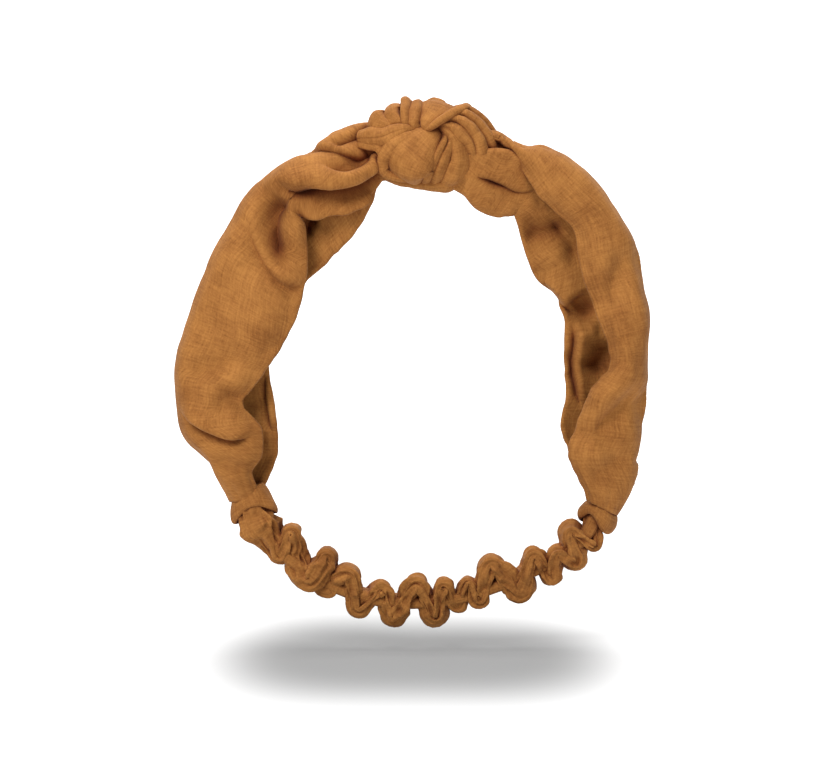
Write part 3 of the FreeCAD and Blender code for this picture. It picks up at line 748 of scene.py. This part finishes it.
def make_casing(material):
    path = spaced_path(CASING_RUN, CASING_ROWS)
    places, half_plane, half_depth = path[:, :3], path[:, 3], path[:, 4]
    ways = np.gradient(places, axis=0)
    # The rings hardly tilt with the path's small shifts in depth.
    ways[:, 1] *= 0.2
    ways = unit(ways)
    depth_way = np.broadcast_to([0.0, 1.0, 0.0], ways.shape)
    plane_way = unit(np.cross(ways, depth_way))
    step = np.linalg.norm(np.diff(places, axis=0), axis=1).mean()
    turning = (np.gradient(ways, axis=0) * plane_way).sum(axis=1) / step
    turning = np.convolve(turning, np.ones(TURNING_ROWS) / TURNING_ROWS, mode="same")
    along = np.arange(CASING_ROWS) * step
    angle = full_turn(CASING_AROUND)
    offset = half_plane[:, None] * squared(np.cos(angle), 0.7)[None, :]
    room = TURNING_REACH / np.maximum(np.abs(turning), 1e-4)[:, None]
    inside = np.sign(offset) == np.sign(turning)[:, None]
    squeezed = room * np.tanh(np.abs(offset) / room) * np.sign(offset)
    offset = np.where(inside, squeezed, offset)
    depth = half_depth[:, None] * squared(np.sin(angle), 0.55)[None, :]
    rings = rings_about(places, plane_way, offset, depth_way, depth)
    normals = -grid_normals(rings)
    crumple = 0.7 * wander(rings * [1, 0.6, 1], 4.0, 3.0) + 2.2 * puffs(along, angle) - 0.9
    rings = smoothed(rings + normals * crumple[..., None], passes=1, closed=True)
    uvs = uv_grid(along, np.arange(CASING_AROUND) * 0.5)
    return tubes_piece("gathered_casing", [(rings, uvs)], material)


NAPE_ROWS = 160
NAPE_LINE = [
    (-64.5, 0, -44), (-62.3, 0, -51), (-58.5, 0, -58.5), (-50, 0, -66.8), (-38, 0, -75),
    (-24, 0, -81.2), (-10, 0, -84.3), (4, 0, -84.4), (18, 0, -82.4), (32, 0, -78),
    (46, 0, -72), (58, 0, -65.5), (66, 0, -58.8), (70.5, 0, -51), (73, 0, -46),
]


def nape_tube(name, half_plane, half_depth, shift, material):
    """A flat tube along the nape line."""
    places = spaced_path(NAPE_LINE, NAPE_ROWS)
    ways = unit(np.gradient(places, axis=0))
    depth_way = np.broadcast_to([0.0, 1.0, 0.0], ways.shape)
    plane_way = unit(np.cross(ways, depth_way))
    angle = full_turn(20)
    across = half_plane * squared(np.cos(angle), 0.6)[None, :]
    along = np.linspace(0, 1, len(places))
    taper = 0.55 + 0.45 * ease(np.minimum(along, 1 - along) / 0.1)
    deep = taper[:, None] * (half_depth * squared(np.sin(angle), 0.6) + shift)[None, :]
    rings = rings_about(places, plane_way, across, depth_way, deep)
    uvs = uv_grid(np.arange(float(NAPE_ROWS)), angle * half_depth)
    return tubes_piece(name, [(rings, uvs)], material)


# --- The hems ---

# Profile rows are (distance from the neck, half width, half depth), down the outside, over the lip and back
# up the inside. The notch is how much shorter the lip is, the angle about the hem's axis where it is
# shortest, and how wide that part is. Seed picks the hem's ripple.
LEFT_HEM = dict(
    neck=(-65.4, -39.5), way=(0.26, -0.965), notch=(0.45, -math.pi / 2, 1), seed=2.0,
    profile=[(0, 6, 5.4), (3, 7.4, 6.8), (7, 8.6, 7.8), (11, 9.4, 8.6), (12.9, 9.2, 8.4), (13.5, 8.4, 7.6),
             (12.4, 7.8, 7), (6, 7.2, 6.2), (2, 6, 5.2)],
)
RIGHT_HEM = dict(
    neck=(75.2, -43.2), way=(-0.42, -0.907), notch=(0.34, -math.pi / 2 + 0.6, 0.8), seed=6.0,
    profile=[(0, 5.2, 4.8), (4.2, 5.7, 5.4), (6.2, 7.2, 7), (9.4, 8.2, 8), (12.2, 7.6, 7.4), (13.6, 6.4, 6.2),
             (13, 5.6, 5.4), (8, 5.7, 5.5), (3, 4.8, 4.4)],
)
HEM_ROWS = 60
HEM_AROUND = 96


def make_hem(side, material, neck, way, notch, seed, profile):
    """A flared lip of turned-in cloth."""
    way = unit(np.array([way[0], 0.0, way[1]]))
    depth_way = np.array([0.0, 1.0, 0.0])
    wide_way = np.cross(depth_way, way)
    angle = full_turn(HEM_AROUND)
    profile = np.array(profile, float)
    rows = smooth_through(np.linspace(0, 1, len(profile)), profile, np.linspace(0, 1, HEM_ROWS))
    start = np.array([neck[0], 0.0, neck[1]])
    share, notch_angle, notch_width = notch
    from_notch = np.angle(np.exp(1j * (angle - notch_angle)))
    shorter = 1 - share * bell(from_notch, notch_width)
    along = rows[:, :1] * shorter[None, :]
    ripple_round = 1 + 0.05 * np.sin(3 * angle + seed)[None, :] * ease(rows[:, :1] / 6)
    wide = rows[:, 1:2] * np.cos(angle)[None, :] * ripple_round
    deep = rows[:, 2:3] * np.sin(angle)[None, :] * ripple_round
    rings = start + along[..., None] * way + wide[..., None] * wide_way + deep[..., None] * depth_way
    normals = grid_normals(rings)
    rings = rings + normals * (0.3 * wander(rings, 4.0, seed))[..., None]
    uvs = uv_grid(np.arange(HEM_ROWS) * 0.5, angle * 8)
    return tubes_piece(f"{side}_hem_cloth", [(rings, uvs)], material)


# --- Materials ---


def shader(name):
    material = bpy.data.materials.new(name)
    material.use_nodes = True
    return material, material.node_tree, material.node_tree.nodes["Principled BSDF"]


def node(tree, kind, **settings):
    made = tree.nodes.new(kind)
    for key, value in settings.items():
        if key in made.inputs:
            made.inputs[key].default_value = value
        else:
            setattr(made, key, value)
    return made


def set_values(made, values):
    """Constant values on a node's own sockets."""
    for key, value in values.items():
        made.inputs[key].default_value = value


def map_range(tree, value, source, target, interpolation="LINEAR"):
    """A value carried from one range to another."""
    made = node(tree, "ShaderNodeMapRange", interpolation_type=interpolation)
    set_values(made, dict(zip(("From Min", "From Max", "To Min", "To Max"), source + target)))
    tree.links.new(value, made.inputs["Value"])
    return made.outputs["Result"]


def scaled(tree, source, scale):
    """Texture coordinates stretched by a scale on each axis."""
    mapping = node(tree, "ShaderNodeMapping", Scale=scale)
    tree.links.new(source, mapping.inputs["Vector"])
    return mapping.outputs["Vector"]


def noise_field(tree, vector, scale, detail, roughness=0.5):
    texture = node(tree, "ShaderNodeTexNoise", Scale=scale, Detail=detail, Roughness=roughness)
    tree.links.new(vector, texture.inputs["Vector"])
    return texture.outputs["Fac"]


def math_node(tree, operation, first, second):
    made = node(tree, "ShaderNodeMath", operation=operation)
    for socket, value in zip(made.inputs, (first, second)):
        if isinstance(value, (int, float)):
            socket.default_value = value
        else:
            tree.links.new(value, socket)
    return made.outputs[0]


# How wide one band of a wave texture is at a scale of 1.
WAVE_BAND = 0.314159


def thread_waves(tree, uv, axis, pitch):
    """Round threads side by side, from 0 between them to 1 on top."""
    wave = node(tree, "ShaderNodeTexWave", bands_direction=axis, Scale=WAVE_BAND / pitch, Distortion=0.6)
    set_values(wave, {"Detail Scale": 1.5})
    tree.links.new(uv, wave.inputs["Vector"])
    return wave.outputs["Fac"]


def painted_fold_shade(tree, colour):
    """Painted shade in tight folds: the colour made deeper and redder where ambient occlusion finds cloth
    close around, standing in for the shade there and the light passed from cloth to cloth.
    """
    open_sky = node(tree, "ShaderNodeAmbientOcclusion", samples=8, Distance=0.009)
    depth = map_range(tree, open_sky.outputs["AO"], (0.15, 0.8), (1, 0))
    fold_shade_mix = node(tree, "ShaderNodeMix", data_type="RGBA", blend_type="MULTIPLY")
    tree.links.new(depth, fold_shade_mix.inputs["Factor"])
    tree.links.new(colour, fold_shade_mix.inputs[6])
    # The redder dark that the painted fold shade multiplies in.
    fold_shade_mix.inputs[7].default_value = (0.45, 0.22, 0.19, 1)
    return fold_shade_mix.outputs[2]


def woven_cloth(name, light, dark, thread_pitch):
    """Plain weave of slubby spun yarn, mottled as brushed cloth is, with painted shade in its folds."""
    material, tree, surface = shader(name)
    coordinates = node(tree, "ShaderNodeTexCoord")
    uv = coordinates.outputs["UV"]
    place = coordinates.outputs["Object"]
    mottle = noise_field(tree, place, 70.0, 5.0, 0.6)
    warp_slub = noise_field(tree, scaled(tree, uv, (90.0, 1300.0, 1.0)), 1.0, 3.0)
    weft_slub = noise_field(tree, scaled(tree, uv, (1300.0, 130.0, 1.0)), 1.0, 3.0)
    grain = noise_field(tree, uv, 1300.0, 2.0)
    slubs = math_node(tree, "ADD", warp_slub, weft_slub)
    tone = math_node(tree, "MULTIPLY", mottle, 1.2)
    for texture, share in ((slubs, 0.7), (grain, 0.6)):
        tone = math_node(tree, "ADD", tone, math_node(tree, "MULTIPLY", texture, share))
    spread = map_range(tree, tone, (1.3, 1.9), (0, 1))
    ramp = node(tree, "ShaderNodeValToRGB")
    ramp.color_ramp.elements[0].color = (*dark, 1)
    ramp.color_ramp.elements[1].color = (*light, 1)
    tree.links.new(spread, ramp.inputs["Fac"])
    # The base colour carries painted shade in the folds.
    tree.links.new(painted_fold_shade(tree, ramp.outputs["Color"]), surface.inputs["Base Color"])
    warp = thread_waves(tree, uv, "X", thread_pitch)
    weft = thread_waves(tree, uv, "Y", thread_pitch)
    weave = math_node(tree, "MAXIMUM", warp, weft)
    height = math_node(tree, "ADD", math_node(tree, "MULTIPLY", weave, 0.6), slubs)
    bump = node(tree, "ShaderNodeBump", Strength=0.5, Distance=0.00012)
    tree.links.new(height, bump.inputs["Height"])
    tree.links.new(bump.outputs["Normal"], surface.inputs["Normal"])
    set_values(surface, {
        "Roughness": 0.86,
        "Specular IOR Level": 0.25,
        "Sheen Weight": 0.05,
        "Sheen Roughness": 0.45,
        "Sheen Tint": (0.95, 0.72, 0.45, 1),
    })
    return material


# --- The stage ---


def area_light(name, place, target, size, depth, power):
    data = bpy.data.lights.new(name, "AREA")
    data.shape = "ELLIPSE"
    data.size = size
    data.size_y = depth
    data.energy = power
    lamp = add_object(name, data)
    lamp.location = place
    lamp.rotation_euler = (Vector(target) - Vector(place)).to_track_quat("-Z", "Y").to_euler()


# How far the floor is under the object at rest.
FLOOR_DROP = 0.0115
# The painted shadow on the floor: the half width and half length of its grey patch, in metres, and how far it
# lies in front of the object's middle.
PAINTED_SHADOW_HALF_WIDTH = 0.070
PAINTED_SHADOW_HALF_LENGTH = 0.083
PAINTED_SHADOW_FORWARD = 0.018


def pale_backdrop():
    """White paper that glows a little, and more behind the object, with a painted shadow under it: a soft
    grey patch that darkens both its glow and its colour.
    """
    material, tree, surface = shader("pale_backdrop")
    set_values(surface, {"Roughness": 1.0, "Specular IOR Level": 0.0})
    place = node(tree, "ShaderNodeTexCoord").outputs["Object"]
    parts = node(tree, "ShaderNodeSeparateXYZ")
    tree.links.new(place, parts.inputs["Vector"])
    glow = map_range(tree, parts.outputs["Y"], (0.2, 0.6), (0.7, 1.3), "SMOOTHSTEP")
    tree.links.new(glow, surface.inputs["Emission Strength"])
    across = math_node(tree, "MULTIPLY", parts.outputs["X"], 1 / PAINTED_SHADOW_HALF_WIDTH)
    along = math_node(tree, "ADD", parts.outputs["Y"], PAINTED_SHADOW_FORWARD)
    along = math_node(tree, "MULTIPLY", along, 1 / PAINTED_SHADOW_HALF_LENGTH)
    under = math_node(tree, "ADD", math_node(tree, "POWER", across, 4), math_node(tree, "POWER", along, 2))
    from_middle = math_node(tree, "SQRT", under, 0)
    # A painted shadow: the paper's glow falls off to grey in an ellipse under the object.
    shade = map_range(tree, from_middle, (0.3, 1.75), (0.38, 1.0), "SMOOTHERSTEP")
    tree.links.new(shade, surface.inputs["Emission Color"])
    # The paper's colour carries the same painted shadow.
    paper = math_node(tree, "MULTIPLY", shade, 0.35)
    tree.links.new(paper, surface.inputs["Base Color"])
    return material


def make_stage():
    """A pale floor that sweeps up behind the object, and soft lights."""
    floor_z = cad_box[0][2] - FLOOR_DROP
    floor_front, floor_back, bend_start, sweep, wall_height = -12.0, 0.4, 1.2, 0.5, 2.2
    floor_half, wall_half = 9.0, 2.5
    profile = [(floor_front, floor_z, floor_half), (floor_back, floor_z, floor_half)]
    for angle in np.linspace(0, math.pi / 2, 24):
        y = bend_start + sweep * math.sin(angle)
        z = floor_z + sweep * (1 - math.cos(angle))
        profile.append((y, z, wall_half))
    profile.append((bend_start + sweep, floor_z + wall_height, wall_half))
    rows = [[(x, y, z) for x in (-half, half)] for y, z, half in profile]
    vertices = np.array(rows).reshape(-1, 3) / MM
    faces = grid_faces(len(profile), 2, closed=False)
    uvs = np.zeros((len(vertices), 2))
    floor = make_piece("pale_floor", vertices, faces, uvs, pale_backdrop())
    target = (0, 0, 0.0)
    area_light("key_light", (-0.5, -0.95, 0.8), target, 0.6, 0.6, 13.0)
    area_light("fill_light", (0.7, -1.2, 0.1), target, 0.9, 0.9, 3.5)
    area_light("top_light", (0.0, 0.05, 1.1), target, 0.6, 1.0, 12.0)
    world = bpy.data.worlds.new("studio")
    world.use_nodes = True
    set_values(world.node_tree.nodes["Background"], {"Color": (1, 1, 1, 1), "Strength": 0.15})
    bpy.context.scene.world = world
    bpy.context.scene.view_settings.view_transform = "Standard"


def make_camera():
    """Level with the object and a little above it, far enough away to flatten the view."""
    distance, elevation = 1.1, math.radians(4.5)
    centre = Vector((0.0, 0.0, 0.00175))
    view_width = 0.324
    data = bpy.data.cameras.new("camera")
    data.sensor_width = 36
    data.lens = 36 * distance / view_width
    camera = add_object("camera", data)
    camera.location = centre + distance * Vector((0, -math.cos(elevation), math.sin(elevation)))
    camera.rotation_euler = (centre - camera.location).to_track_quat("-Z", "Y").to_euler()
    bpy.context.scene.camera = camera


# --- Putting it together ---


def add_front(cloth, thread):
    """The wings, the knot and the hems, which keep together."""
    left, left_stitches = make_wing("left", LEFT_STATIONS, LEFT_FOLDS, 1.0, cloth, thread)
    right, right_stitches = make_wing("right", RIGHT_STATIONS, RIGHT_FOLDS, 4.0, cloth, thread)
    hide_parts("left_wing")
    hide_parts("right_wing")
    for stitches, node_name in ((left_stitches, "left_wing_seam"), (right_stitches, "right_wing_seam")):
        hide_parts(node_name)
        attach(stitches, "front_wrap")
    knot = make_knot(cloth)
    left_hem = make_hem("left", cloth, **LEFT_HEM)
    right_hem = make_hem("right", cloth, **RIGHT_HEM)
    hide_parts("left_end_hem")
    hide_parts("right_end_hem")
    for piece in [left, right, *knot, left_hem, right_hem]:
        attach(piece, "front_wrap")


def add_back(cloth, elastic, thread):
    """The gathered casing and what it holds, along the nape between the hems."""
    casing = make_casing(cloth)
    inner = nape_tube("casing_inner_wrap", 2.8, 5.9, 0.0, cloth)
    band = nape_tube("elastic_band", 0.6, 5.0, 0.0, elastic)
    seam = nape_tube("casing_seam_thread", 0.2, 0.2, 6.0, thread)
    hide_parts("elastic_casing")
    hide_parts("elastic_strip")
    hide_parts("casing_seam")
    # Each piece's placement is baked into its mesh.
    for piece, slot in ((casing, "cloth"), (inner, "cloth"), (band, "elastic"), (seam, "thread")):
        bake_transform(piece)


def main():
    cloth = woven_cloth("mustard_cloth", (0.405, 0.168, 0.038), (0.222, 0.078, 0.0145), 0.0006)
    elastic = woven_cloth("knitted_elastic", (0.8, 0.78, 0.72), (0.6, 0.58, 0.52), 0.0008)
    thread = woven_cloth("sewing_thread", (0.45, 0.21, 0.07), (0.3, 0.12, 0.035), 0.0002)
    for name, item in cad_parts.items():
        item.data.materials.clear()
        item.data.materials.append(thread if "stitch" in name or "seam" in name else cloth)
    add_front(cloth, thread)
    add_back(cloth, elastic, thread)
    make_stage()
    make_camera()


main()
